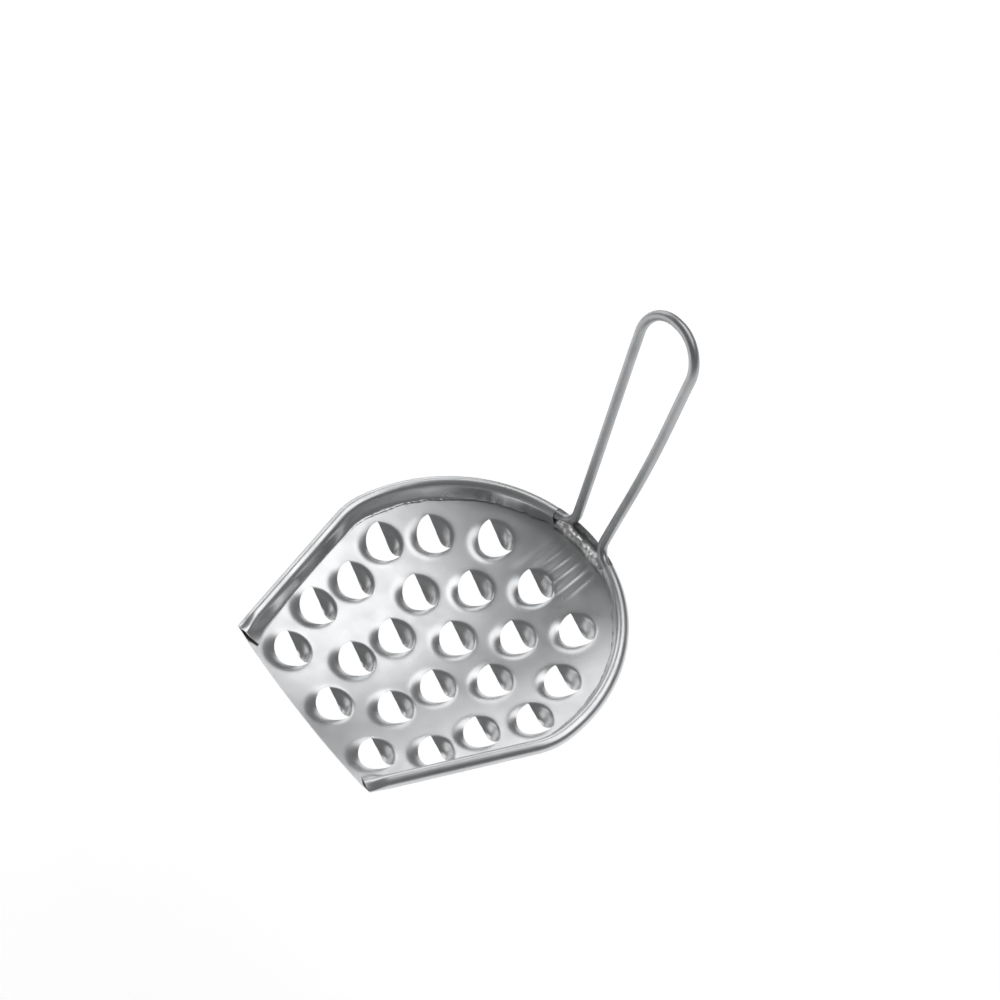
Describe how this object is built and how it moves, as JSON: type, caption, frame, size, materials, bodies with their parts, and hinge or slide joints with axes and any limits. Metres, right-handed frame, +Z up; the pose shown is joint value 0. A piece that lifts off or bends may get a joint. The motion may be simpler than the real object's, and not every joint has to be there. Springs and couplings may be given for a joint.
{
  "type": "wire-handled hand ricer scoop",
  "caption": "Dished sheet-metal scoop with coarse stamped teeth, a wired rim and an upright wire loop handle, for ricing or grating soft food by hand.",
  "frame": {"origin": "middle of the straight front edge, halfway through the sheet", "axes": "+Y back from the front edge to the handle, +Z up out of the bowl, square to the rim's plane"},
  "size_m": [0.1498, 0.1876, 0.1369],
  "materials": {
    "tinned_sheet": "bright tinned, slightly rubbed",
    "steel_wire": "drawn and tinned",
    "solder": "lumpy bright solder"
  },
  "bodies": {
    "root": {"sheet_scoop": "tinned_sheet", "handle_wire": "steel_wire", "solder_left": "solder", "solder_right": "solder"}
  },
  "joints": []
}
